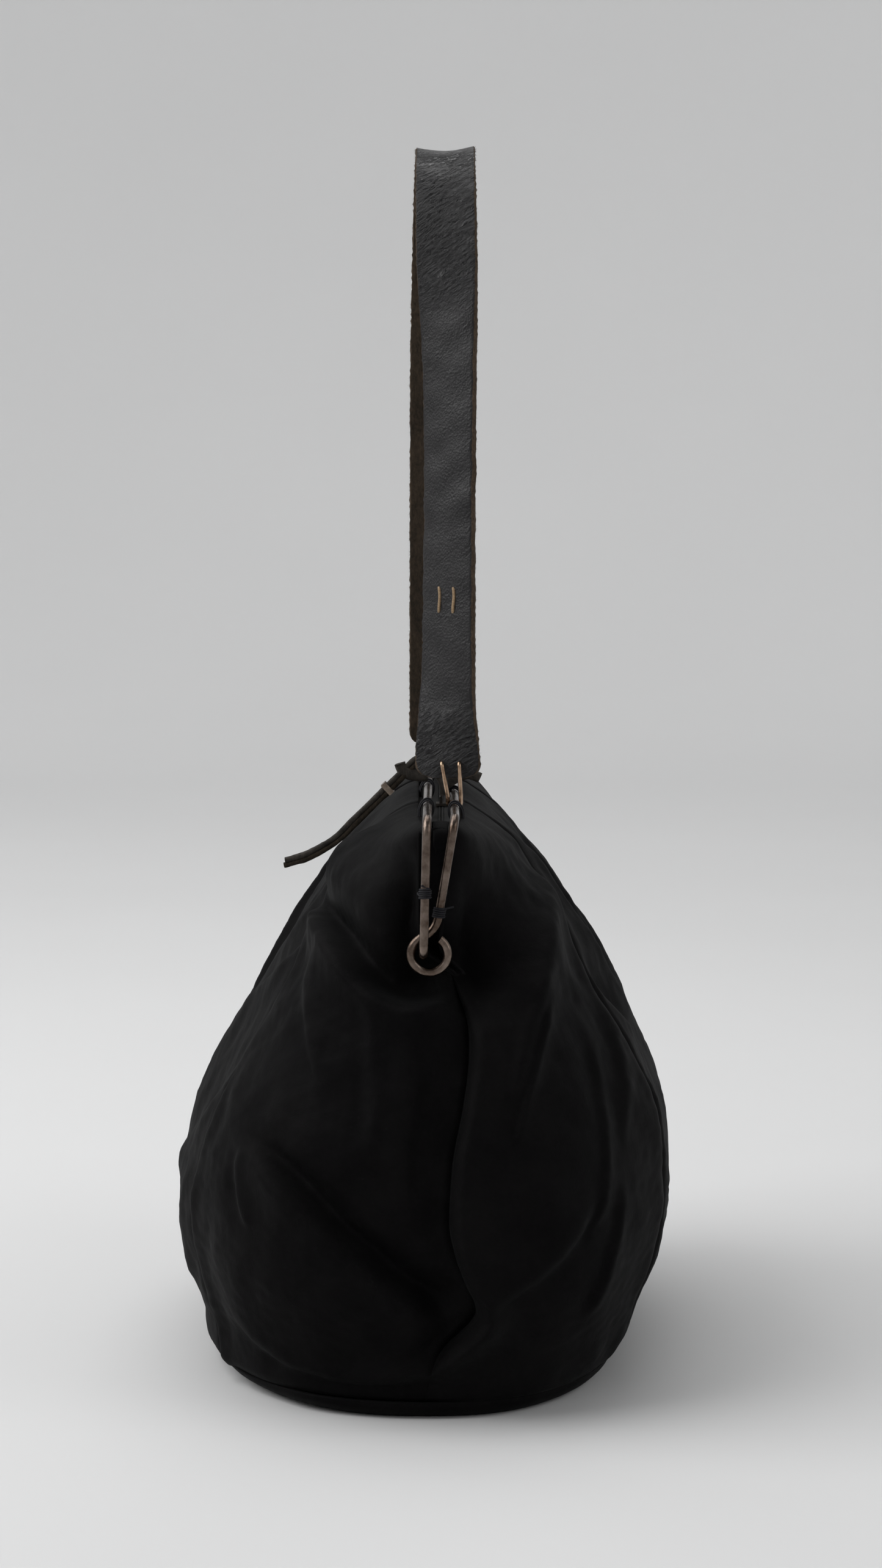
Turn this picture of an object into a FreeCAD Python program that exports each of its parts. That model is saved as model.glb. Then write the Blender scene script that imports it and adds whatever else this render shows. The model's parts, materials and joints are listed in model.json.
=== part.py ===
"""A leather shoulder bag that hangs from a hinged frame of bent rod, in millimetres.

+X runs across the bag, +Y along its mouth and +Z up. The origin is on the floor, under the
middle of the body. The near end is the one at -Y. The body's lower half stands still, and each
half of the frame turns about the pins at z = pin_level with its half of the upper leather.
"""

import FreeCAD, Part
import math
import os

Vector = FreeCAD.Vector

SIZES = {
    # the leather body
    "body_half_width": 146.5,
    "body_half_length": 225,
    "leather_wall": 3,
    "base_level": 9,
    "rim_level": 256,
    "seam_station": 150,
    "mouth_middle": 7.5,
    "upper_wall": 4,
    "mouth_level": 322.5,
    # the two halves of the frame
    "rod_radius": 2.5,
    "rod_level": 330,
    "rod_right": 15,
    "rod_bend": 9,
    "pin_across": -2,
    "pin_level": 256,
    "pin_radius": 2.2,
    "pin_station": 207,
    "pin_tail": 187,
    "pin_bend": 5,
    "left_rod_end": 203,
    "right_rod_end": 200,
    "eye_across": 1.1,
    "eye_radius": 10,
    # the cords that tie the leather to the frame
    "cord_radius": 0.55,
    "left_leg_tie_level": 290,
    "right_leg_tie_level": 279,
    # the mouth, under the rods
    "facing_width": 7.5,
    "facing_length": 344,
    "facing_thickness": 1.5,
    "facing_level": 322.7,
    "tape_width": 4.2,
    "tape_thickness": 0.8,
    "tape_level": 323,
    "coil_radius": 0.8,
    "coil_offset": 0.85,
    "coil_length": 336,
    "stop_length": 3,
    # the slider and its puller
    "slider_station": -75,
    "slider_length": 12,
    "slider_width": 5.8,
    "slider_thickness": 1.2,
    "slider_level": 324.6,
    "flange_width": 0.8,
    "flange_drop": 0.55,
    "bridge_level": 329,
    "bridge_radius": 0.9,
    "bridge_length": 9.8,
    "bridge_leg": 1,
    "puller_width": 7,
    "puller_thickness": 5.6,
    "clip_across": -23,
    "clip_level": 334,
    "clip_length": 3.4,
    "clip_wall": 0.8,
    # the shoulder strap and what holds it to the right rod
    "strap_width": 36,
    "strap_thickness": 3.5,
    "strap_across": 9.1,
    "strap_yaw": 1.445,
    "strap_foot_station": 107,
    "strap_foot_level": 343,
    "strap_top_level": 701,
    "strap_top_station": 52,
    "strap_bend": 51,
    "strap_corner": 5.5,
    "staple_radius": 1.1,
    "staple_loop": 3.75,
    "staple_hole": 1.3,
    "staple_left": 7.85,
    "staple_right": 17.7,
    "staple_level": 352,
    "staple_station": 110.7,
    "staple_depth": 8.5,
    "stitch_length": 14,
    "stitch_width": 1.5,
    "stitch_depth": 0.6,
    "stitch_offset": 4,
    "stitch_level": 443,
}

# Each row is a level, and the body's half width and half length there as shares of the widest.
BODY_PROFILE = (
    (0, 0.756, 0.884),
    (4, 0.822, 0.912),
    (15, 0.872, 0.940),
    (45, 0.945, 0.968),
    (105, 1.000, 1.000),
    (145, 0.952, 0.987),
    (185, 0.860, 0.951),
    (220, 0.751, 0.900),
    (256, 0.601, 0.818),
)
# Each row is a level, the upper leather's half width and half length, and its middle across.
UPPER_PROFILE = (
    (252, 84.5, 176, 0),
    (264, 83.5, 176, 0),
    (278, 77, 176, 0.8),
    (294, 61.5, 178, 2.2),
    (310, 38.5, 182, 4),
    (322.5, 15.5, 186, 7.5),
)
OUTLINE_POWER = 2.6
OUTLINE_POINTS = 24
HINGE_RELIEF = 8  # the upper leather keeps this far from the pins
SPLIT_GAP = 1
EYE_JOIN = math.radians(118)  # where the leg runs into the eye
EYE_END = math.radians(55)
EYE_CORNER = 9.66
EYE_BLEND = 14
LEFT_TIES = (-134, -24, 60, 140)
RIGHT_TIES = (-149, -65, 65, 149)
TURN_PITCH = 1.15
LEG_TURNS = 3
ROD_TURNS = 2
# The puller's middle line, seen from the near end, and the radius of each bend.
PULLER_LINE = ((7.5, 329), (4.2, 341), (-1, 355.4), (-54, 305), (-84.5, 290.5))
PULLER_BENDS = (12, 7, 50)
PULLER_HEAD = 2.6
BIG = 600
ACROSS, ALONG = Vector(1, 0, 0), Vector(0, 1, 0)

doc = FreeCAD.newDocument("shoulder_bag")
sheet = doc.addObject("Spreadsheet::Sheet", "Sizes")
for row, (alias, value) in enumerate(SIZES.items(), start=1):
    sheet.set(f"A{row}", alias)
    sheet.set(f"B{row}", str(value))
    sheet.setAlias(f"B{row}", alias)
doc.recompute()
nodes = []


def cell(alias):
    return float(sheet.get(alias))


def bind(thing, **expressions):
    for name, expression in expressions.items():
        words = expression
        for alias in sorted(SIZES, key=len, reverse=True):
            words = words.replace(f"<{alias}>", f"Sizes.{alias}")
        thing.setExpression(name.replace("_", ".") if name.startswith("Placement") else name, words)
    return thing


def place(thing, x="0", y="0", z="0"):
    return bind(thing, Placement_Base_x=x, Placement_Base_y=y, Placement_Base_z=z)


def box(name, length, width, height, x="0", y="0", z="0"):
    made = doc.addObject("Part::Box", name)
    return place(bind(made, Length=length, Width=width, Height=height), x, y, z)


def rod_along_y(name, radius, length, x, y, z):
    """A cylinder that runs from y towards +Y."""
    made = bind(doc.addObject("Part::Cylinder", name), Radius=radius, Height=length)
    made.Placement.Rotation = FreeCAD.Rotation(Vector(1, 0, 0), -90)
    return place(made, x, y, z)


def feature(name, shape):
    made = doc.addObject("Part::Feature", name)
    made.Shape = shape
    return made


def boolean(kind, name, base, tool):
    made = doc.addObject(f"Part::{kind}", name)
    made.Base = base
    made.Tool = tool
    return made


def join(name, pieces):
    made = doc.addObject("Part::MultiFuse", name)
    made.Shapes = pieces
    return made


def node(thing, label):
    thing.Label = label
    nodes.append(thing)
    return thing


# ---------------------------------------------------------------- lofted leather


def outline(name, half_width, half_length, level, middle=0.0):
    """A rounded oblong outline at one level."""
    points = []
    for step in range(OUTLINE_POINTS):
        turn = 2 * math.pi * step / OUTLINE_POINTS
        along, across = math.cos(turn), math.sin(turn)
        x = half_width * math.copysign(abs(across) ** (2 / OUTLINE_POWER), across)
        y = half_length * math.copysign(abs(along) ** (2 / OUTLINE_POWER), along)
        points.append(Vector(middle + x, y, level))
    curve = Part.BSplineCurve()
    curve.interpolate(Points=points, PeriodicFlag=True)
    return feature(name, Part.Wire(curve.toShape()))


def loft(name, rows):
    made = doc.addObject("Part::Loft", name)
    made.Sections = [outline(f"{name}_{number}", *row) for number, row in enumerate(rows)]
    made.Solid = True
    made.Ruled = False
    return made


def lower_shell():
    width, length, wall = cell("body_half_width"), cell("body_half_length"), cell("leather_wall")
    outer = [(width * wide, length * far, level) for level, wide, far in BODY_PROFILE]
    inner = [(a - wall, b - wall, max(level, wall)) for a, b, level in outer if level != 4]
    top = inner[-1]
    inner.append((top[0] - wall / 2, top[1] - wall / 2, top[2] + wall))
    return boolean("Cut", "lower_shell", loft("lower_outside", outer), loft("lower_inside", inner))


def upper_shell():
    wall = cell("upper_wall")
    outer = [(a, b, level, middle) for level, a, b, middle in UPPER_PROFILE]
    inner = [(a - wall, b - wall, level, middle) for a, b, level, middle in outer]
    first, last = inner[0], inner[-1]
    inner.insert(0, (first[0], first[1], first[2] - wall, first[3]))
    inner.append((last[0] - wall / 2, last[1], last[2] + wall, last[3]))
    return boolean("Cut", "upper_shell", loft("upper_outside", outer), loft("upper_inside", inner))


def mirrored(name, source, normal):
    made = doc.addObject("Part::Mirroring", name)
    made.Source = source
    made.Normal = normal
    return made


def lower_panels():
    """The base, the near gusset and the left side are cut from one shell, and then mirrored."""
    shell = lower_shell()
    length, width = "<body_half_length>", "<body_half_width>"
    slab = box("base_slab", f"4 * {width}", f"4 * {length}", "<base_level> + 5",
               f"-2 * {width}", f"-2 * {length}", "-5")
    node(boolean("Common", "base", shell, slab), "base_panel")
    height = "<rim_level> - <base_level> + 1"
    side_block = box("side_block", f"2 * {width}", "2 * <seam_station>", height,
                     f"-2 * {width}", "-<seam_station>", "<base_level>")
    left = node(boolean("Common", "left_side", shell, side_block), "left_side_panel")
    node(mirrored("right_side", left, ACROSS), "right_side_panel")
    end_block = box("end_block", f"4 * {width}", length, height,
                    f"-2 * {width}", f"-<seam_station> - {length}", "<base_level>")
    near = node(boolean("Common", "near_gusset", shell, end_block), "near_end_gusset")
    node(mirrored("far_gusset", near, ALONG), "far_end_gusset")


def upper_panels():
    """Each half is the upper shell on one side of a plane from the pins to the mouth.

    It is cut at the seams into a panel and a wing, and the far wing mirrors the near one.
    """
    shell = upper_shell()
    relief = feature("hinge_relief", Part.makeCylinder(
        HINGE_RELIEF, 2 * BIG, Vector(cell("pin_across"), -BIG, cell("pin_level")), Vector(0, 1, 0)))
    open_shell = boolean("Cut", "upper_open", shell, relief)
    run = cell("mouth_middle") - cell("pin_across")
    rise = cell("rod_level") - cell("pin_level")
    lean = math.degrees(math.atan2(run, rise))
    seam = cell("seam_station")
    stretches = {"upper_panel": (-seam, seam), "near_wing": (-BIG, -seam)}
    for side, start in (("left", -BIG - SPLIT_GAP / 2), ("right", SPLIT_GAP / 2)):
        for kind, (low, high) in stretches.items():
            half = feature(f"{side}_{kind}_half", Part.makeBox(
                BIG, high - low, 2 * BIG, Vector(start, low, -BIG)))
            half.Placement = FreeCAD.Placement(
                Vector(cell("pin_across"), 0, cell("pin_level")),
                FreeCAD.Rotation(Vector(0, 1, 0), lean))
            piece = boolean("Common", f"{side}_{kind}_cut", open_shell, half)
            node(piece, f"{side}_{kind}")
        node(mirrored(f"{side}_far_cut", piece, ALONG), f"{side}_far_wing")


# ---------------------------------------------------------------- bent rod


def rounded_corner(before, corner, after, radius):
    """The arc that rounds a corner, with the points where it starts and ends."""
    back, ahead = (before - corner).normalize(), (after - corner).normalize()
    half = back.getAngle(ahead) / 2
    middle = (back + ahead).normalize()
    reach = radius / math.tan(half)
    start, end = corner + back * reach, corner + ahead * reach
    top = corner + middle * (radius / math.sin(half) - radius)
    return start, Part.Arc(start, top, end), end


def bent_edges(points, radii):
    """Straight runs through the points, joined by an arc at each inner point."""
    edges, at = [], points[0]
    for number, radius in enumerate(radii, start=1):
        start, arc, end = rounded_corner(*points[number - 1:number + 2], radius)
        edges += [Part.LineSegment(at, start).toShape(), arc.toShape()]
        at = end
    edges.append(Part.LineSegment(at, points[-1]).toShape())
    return edges


def swept(name, edges, profile):
    """A solid that follows the edges; profile gets the path's first point and direction."""
    path = Part.Wire(edges)
    spine = feature(f"{name}_path", path)
    first = path.OrderedEdges[0]
    start = path.OrderedVertexes[0].Point
    way = first.tangentAt(first.FirstParameter)
    if (first.valueAt(first.FirstParameter) - start).Length > 1e-6:
        way = first.tangentAt(first.LastParameter) * -1
    section = feature(f"{name}_profile", profile(start, way))
    made = doc.addObject("Part::Sweep", name)
    made.Sections = [section]
    made.Spine = (spine, [f"Edge{number}" for number in range(1, len(path.Edges) + 1)])
    made.Solid = True
    made.Frenet = False
    return made


def round_profile(radius):
    return lambda start, way: Part.Wire(Part.makeCircle(radius, start, way))


def both_ends(near_edges):
    """The near half of a path, which ends at y = 0, and its mirror image."""
    half = Part.Wire(near_edges)
    return Part.__sortEdges__(half.Edges + half.mirror(Vector(), Vector(0, 1, 0)).Edges)


def left_leg_top():
    return Vector(0, -cell("left_rod_end"), cell("rod_level"))


def left_leg_foot():
    return Vector(cell("pin_across"), -cell("pin_station"), cell("pin_level"))


def left_bar():
    """The left half of the frame, whose ends turn back as pins."""
    pin = Vector(cell("pin_across"), -cell("pin_tail"), cell("pin_level"))
    middle = Vector(0, 0, cell("rod_level"))
    near = bent_edges([pin, left_leg_foot(), left_leg_top(), middle],
                      [cell("pin_bend"), cell("rod_bend")])
    node(swept("left_bar", both_ends(near), round_profile(cell("rod_radius"))), "frame_bar_left")


def eye_point(angle):
    radius = cell("eye_radius")
    return Vector(cell("eye_across") + radius * math.cos(angle), -cell("right_rod_end"),
                  cell("pin_level") + radius * math.sin(angle))


def right_leg_foot():
    """The corner where the right leg turns towards the eye."""
    back = Vector(math.sin(EYE_JOIN), 0, -math.cos(EYE_JOIN))
    return eye_point(EYE_JOIN) + back * EYE_CORNER


def right_leg_top():
    return Vector(cell("rod_right"), -cell("right_rod_end"), cell("rod_level"))


def right_bar():
    """The right half of the frame, whose ends curl into eyes round the pins."""
    middle = Vector(cell("rod_right"), 0, cell("rod_level"))
    leg = bent_edges([eye_point(EYE_JOIN), right_leg_foot(), right_leg_top(), middle],
                     [EYE_BLEND, cell("rod_bend")])
    end = EYE_END + 2 * math.pi
    eye = Part.Arc(eye_point(end), eye_point((EYE_JOIN + end) / 2), eye_point(EYE_JOIN)).toShape()
    edges = both_ends([eye] + leg)
    node(swept("right_bar", edges, round_profile(cell("rod_radius"))), "frame_bar_right")


def turns(name, middle, way, count):
    """Turns of cord side by side round a rod."""
    rings = []
    for number in range(count):
        ring = bind(doc.addObject("Part::Torus", f"{name}_{number}"), Radius2="<cord_radius>",
                    Radius1="<rod_radius> + <cord_radius> + 0.1")
        shift = way * ((number - (count - 1) / 2) * TURN_PITCH * cell("cord_radius") * 1.6)
        ring.Placement = FreeCAD.Placement(middle + shift, FreeCAD.Rotation(Vector(0, 0, 1), way))
        rings.append(ring)
    return rings


def lashings(side, across, stations, leg_top, leg_foot, leg_level):
    """The cords round one half of the frame, each with a post down to the leather's edge."""
    pieces = []
    for number, station in enumerate(stations):
        name = f"{side}_tie_{number}"
        rings = turns(name, Vector(across, station, cell("rod_level")), Vector(0, 1, 0), ROD_TURNS)
        post = place(bind(doc.addObject("Part::Cylinder", f"{name}_post"),
                          Radius="<cord_radius>",
                          Height="<rod_level> - <rod_radius> - <facing_level> - <facing_thickness>"),
                     str(across), str(station), "<facing_level> + <facing_thickness>")
        pieces.append(join(name, rings + [post]))
    way = (leg_top - leg_foot).normalize()
    near = leg_foot + way * ((leg_level - leg_foot.z) / way.z)
    for end, flip in (("near", 1), ("far", -1)):
        name = f"{side}_leg_tie_{end}"
        middle = Vector(near.x, near.y * flip, near.z)
        pieces.append(join(name, turns(name, middle, Vector(way.x, way.y * flip, way.z), LEG_TURNS)))
    group = doc.addObject("Part::Compound", f"{side}_lashings")
    group.Links = pieces
    node(group, f"lashings_{side}")


# ---------------------------------------------------------------- the mouth


def mouth():
    """The leather facing, the tape, the coil and its stops along each side of the mouth."""
    start = "-<facing_length> / 2"
    for side, way in (("left", -1), ("right", 1)):
        edge = f"<mouth_middle> + {way} * (<coil_offset> + <coil_radius> + 0.05)"
        tape_start = edge if way > 0 else f"{edge} - <tape_width>"
        facing_edge = f"{edge} + {way} * (<tape_width> + 0.05)"
        facing_start = facing_edge if way > 0 else f"{facing_edge} - <facing_width>"
        node(box(f"{side}_facing", "<facing_width>", "<facing_length>", "<facing_thickness>",
                 facing_start, start, "<facing_level>"), f"{side}_mouth_facing")
        node(box(f"{side}_tape", "<tape_width>", "<facing_length>", "<tape_thickness>",
                 tape_start, start, "<tape_level>"), f"zip_tape_{side}")
        axis = f"<mouth_middle> + {way} * <coil_offset>"
        level = "<tape_level> + <tape_thickness> / 2"
        node(rod_along_y(f"{side}_coil", "<coil_radius>", "<coil_length>",
                         axis, "-<coil_length> / 2", level), f"zip_coil_{side}")
        stops = doc.addObject("Part::Compound", f"{side}_stops")
        stops.Links = [
            box(f"{side}_stop_{end}", "2 * <coil_radius>", "<stop_length>", "2 * <coil_radius>",
                f"{axis} - <coil_radius>", station, f"{level} - <coil_radius>")
            for end, station in (("near", "-<coil_length> / 2 - <stop_length> - 0.1"),
                                 ("far", "<coil_length> / 2 + 0.1"))]
        node(stops, f"zip_stops_{side}")


def slider():
    """The plate over the coils, its left flange, and the bridge that the puller hangs on."""
    low = "<mouth_middle> - <slider_width> / 2"
    start = "<slider_station> - <slider_length> / 2"
    plate = box("slider_plate", "<slider_width>", "<slider_length>", "<slider_thickness>",
                low, start, "<slider_level>")
    flange = box("slider_flange", "<flange_width>", "<slider_length>", "<flange_drop> + 0.2",
                 low, start, "<slider_level> - <flange_drop>")
    legs = [
        box(f"bridge_leg_{name}", "2 * <bridge_radius>", "<bridge_leg>",
            "<bridge_level> - <slider_level> - <slider_thickness> / 2",
            "<mouth_middle> - <bridge_radius>", station, "<slider_level> + <slider_thickness> / 2")
        for name, station in (("near", "<slider_station> - <bridge_length> / 2"),
                              ("far", "<slider_station> + <bridge_length> / 2 - <bridge_leg>"))]
    bar = rod_along_y("bridge_bar", "<bridge_radius>", "<bridge_length>", "<mouth_middle>",
                      "<slider_station> - <bridge_length> / 2", "<bridge_level>")
    node(join("slider", [plate, flange, bar] + legs), "zip_slider")


def puller():
    """A doubled leather strip that loops round the bridge, with a metal band round it."""
    wide, thick, station = cell("puller_width"), cell("puller_thickness"), cell("slider_station")

    def flat(start, way):
        side, up = Vector(0, wide / 2, 0), way.cross(Vector(0, 1, 0)).normalize() * (thick / 2)
        corners = [start - side - up, start + side - up, start + side + up, start - side + up]
        return Part.makePolygon(corners + corners[:1])

    points = [Vector(x, station, z) for x, z in PULLER_LINE]
    strip = swept("puller_run", bent_edges(points, PULLER_BENDS), flat)
    head = feature("puller_head", Part.makeCylinder(
        thick / 2, wide, points[0] - Vector(0, wide / 2, 0), Vector(0, 1, 0)))
    hole = feature("puller_hole", Part.makeCylinder(
        cell("bridge_radius") + 0.3, 2 * wide, points[0] - Vector(0, wide, 0), Vector(0, 1, 0)))
    node(boolean("Cut", "puller", join("puller_solid", [strip, head]), hole), "puller_strip")

    run = points[3] - points[2]
    lean = math.degrees(math.atan2(run.z, -run.x))
    middle = Vector(cell("clip_across"), station, cell("clip_level"))
    middle = points[2] + run * (run.dot(middle - points[2]) / run.dot(run))
    length, wall = cell("clip_length"), cell("clip_wall")

    def block(spare, long):
        size = Vector(long, wide + 2 * spare, thick + 2 * spare)
        return Part.makeBox(*size, size * -0.5)

    band = feature("clip", block(0.2 + wall, length).cut(block(0.2, 2 * length)))
    band.Placement = FreeCAD.Placement(middle, FreeCAD.Rotation(Vector(0, 1, 0), lean))
    node(band, "puller_clip")


# ---------------------------------------------------------------- the strap


def strap_direction():
    """The way up the near leg of the strap."""
    foot = Vector(0, -cell("strap_foot_station"), cell("strap_foot_level"))
    top = Vector(0, -cell("strap_top_station"), cell("strap_top_level"))
    return foot, top, (top - foot).normalize()


def strap():
    """One flat strip over the shoulder, with rounded ends and two holes near each end."""
    wide, thick, across = cell("strap_width"), cell("strap_thickness"), cell("strap_across")
    foot, top, way = strap_direction()
    path = [foot, top, Vector(0, -top.y, top.z), Vector(0, -foot.y, foot.z)]

    def flat(start, way):
        side, up = Vector(wide / 2, 0, 0), way.cross(Vector(1, 0, 0)).normalize() * (thick / 2)
        corners = [start - side - up, start + side - up, start + side + up, start - side + up]
        return Part.makePolygon(corners + corners[:1])

    strip = swept("strap_run", bent_edges(path, [cell("strap_bend")] * 2), flat)
    doc.recompute()
    rounded = doc.addObject("Part::Fillet", "strap_rounded")
    rounded.Base = strip
    corner = cell("strap_corner")
    rounded.Edges = [
        (number, corner, corner) for number, edge in enumerate(strip.Shape.Edges, start=1)
        if abs(edge.Length - thick) < 1e-3 and edge.CenterOfMass.z < foot.z + thick]
    rounded.Placement = FreeCAD.Placement(
        Vector(across, 0, 0), FreeCAD.Rotation(Vector(0, 0, 1), cell("strap_yaw")))
    holes = [
        rod_along_y(f"strap_hole_{end}_{side}", "<staple_hole>", "40",
                    f"<staple_{side}>", f"{flip} * <strap_foot_station> - 20", "<staple_level>")
        for end, flip in (("near", -1), ("far", 1)) for side in ("left", "right")]
    node(boolean("Cut", "strap", rounded, join("strap_holes", holes)), "shoulder_strap")


def staple(end, flip):
    """A wire that passes through the strap's two holes and under the right rod."""
    front, back = cell("staple_station"), cell("staple_station") - cell("staple_depth")
    loop, level = cell("staple_loop"), cell("staple_level")
    rod = Vector(cell("rod_right"), -front, cell("rod_level"))
    left, right = rod - Vector(loop, 0, 0), rod + Vector(loop, 0, 0)
    top_left = Vector(cell("staple_left"), -front, level)
    top_right = Vector(cell("staple_right"), -front, level)
    bend = 2 * cell("staple_radius")

    def leg(hole, side):
        inside = Vector(hole.x, -back, hole.z)
        above = side + Vector(0, 0, loop)
        return bent_edges([inside, hole, above, side], [bend, 2 * loop])

    under = Part.Arc(left, rod - Vector(0, 0, loop), right).toShape()
    edges = Part.Wire(Part.__sortEdges__(leg(top_left, left) + [under] + leg(top_right, right)))
    if flip < 0:
        edges = edges.mirror(Vector(), Vector(0, 1, 0))
    made = swept(f"{end}_staple", edges.Edges, round_profile(cell("staple_radius")))
    node(made, f"strap_staple_{end}")


def stitches():
    """Two short stitches side by side on the near leg of the strap."""
    foot, _, way = strap_direction()
    lean = math.degrees(math.atan2(way.y, way.z))
    middle = foot + way * ((cell("stitch_level") - foot.z) / way.z)
    depth = cell("stitch_depth")
    yaw = FreeCAD.Rotation(Vector(0, 0, 1), cell("strap_yaw"))
    turn = yaw.multiply(FreeCAD.Rotation(Vector(1, 0, 0), -lean))
    middle = yaw.multVec(middle) + Vector(cell("strap_across"), 0, 0)
    pair = []
    for side in (-1, 1):
        stitch = bind(doc.addObject("Part::Box", f"stitch_{'left' if side < 0 else 'right'}"),
                      Length="<stitch_width>", Width="<stitch_depth>", Height="<stitch_length>")
        corner = Vector(side * cell("stitch_offset") - cell("stitch_width") / 2,
                        -cell("strap_thickness") / 2 - depth - 0.02, -cell("stitch_length") / 2)
        stitch.Placement = FreeCAD.Placement(middle + turn.multVec(corner), turn)
        pair.append(stitch)
    group = doc.addObject("Part::Compound", "stitches")
    group.Links = pair
    node(group, "strap_stitches")


lower_panels()
upper_panels()
left_bar()
right_bar()
lashings("left", 0, LEFT_TIES, left_leg_top(), left_leg_foot(), cell("left_leg_tie_level"))
lashings("right", cell("rod_right"), RIGHT_TIES, right_leg_top(), right_leg_foot(),
         cell("right_leg_tie_level"))
mouth()
slider()
puller()
strap()
staple("near", 1)
staple("far", -1)
stitches()
doc.recompute()

for thing in doc.Objects:
    if "Invalid" in thing.State or "Error" in thing.State:
        raise RuntimeError(f"{thing.Label} failed: {thing.State}")
os.makedirs("parts", exist_ok=True)
for thing in nodes:
    shape = thing.Shape
    if shape.isNull() or not shape.isValid() or not shape.Solids:
        raise RuntimeError(f"{thing.Label} has no valid solid")
    shape.exportStep(f"parts/{thing.Label}.step")
    bounds = shape.BoundBox
    print(f"{thing.Label:20s} {len(shape.Solids)} solids {shape.Volume / 1000:8.2f} cm3 "
          f"x {bounds.XMin:.1f}..{bounds.XMax:.1f} y {bounds.YMin:.1f}..{bounds.YMax:.1f} "
          f"z {bounds.ZMin:.1f}..{bounds.ZMax:.1f}")
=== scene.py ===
import json
import math

import bpy
import numpy as np
from mathutils import Matrix, Vector


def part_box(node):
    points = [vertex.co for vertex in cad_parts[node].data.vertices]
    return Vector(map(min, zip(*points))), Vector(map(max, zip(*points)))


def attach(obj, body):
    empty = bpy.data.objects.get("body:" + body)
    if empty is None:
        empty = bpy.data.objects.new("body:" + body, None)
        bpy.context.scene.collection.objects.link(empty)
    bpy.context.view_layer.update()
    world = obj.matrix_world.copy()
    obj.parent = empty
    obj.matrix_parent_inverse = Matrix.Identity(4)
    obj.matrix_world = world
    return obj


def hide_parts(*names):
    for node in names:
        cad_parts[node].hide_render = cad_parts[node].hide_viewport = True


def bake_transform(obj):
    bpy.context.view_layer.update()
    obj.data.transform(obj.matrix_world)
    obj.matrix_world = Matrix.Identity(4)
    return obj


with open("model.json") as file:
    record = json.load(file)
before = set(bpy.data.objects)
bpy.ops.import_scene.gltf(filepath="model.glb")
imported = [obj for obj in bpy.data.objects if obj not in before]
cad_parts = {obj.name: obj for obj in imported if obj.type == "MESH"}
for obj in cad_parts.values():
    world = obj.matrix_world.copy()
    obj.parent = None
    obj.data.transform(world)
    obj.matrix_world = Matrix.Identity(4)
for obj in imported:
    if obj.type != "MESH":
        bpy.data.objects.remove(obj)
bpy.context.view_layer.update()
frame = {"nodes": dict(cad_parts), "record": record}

# A black leather shoulder bag on a bent-rod frame. The numbers below are millimetres in the
# row's frame, and MM turns them into metres where a mesh is made.
MM = 0.001
joints = {joint["name"]: joint for joint in frame["record"]["behaviour"]["joints"]}
pin = Vector(joints["left_frame_opens"]["pos_m"]) / MM
right_rod = Vector(joints["strap_swings"]["pos_m"]) / MM
random = np.random.default_rng(7)


def low(node):
    return np.array(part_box(node)[0]) / MM


def high(node):
    return np.array(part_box(node)[1]) / MM


ROD_RADIUS = 2.5
SIGN = {"left": -1, "right": 1, "near": 1, "far": -1}
mouth_level = high("left_upper_panel")[2]
slider_middle = (low("zip_slider") + high("zip_slider")) / 2


# ------------------------ materials


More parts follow.
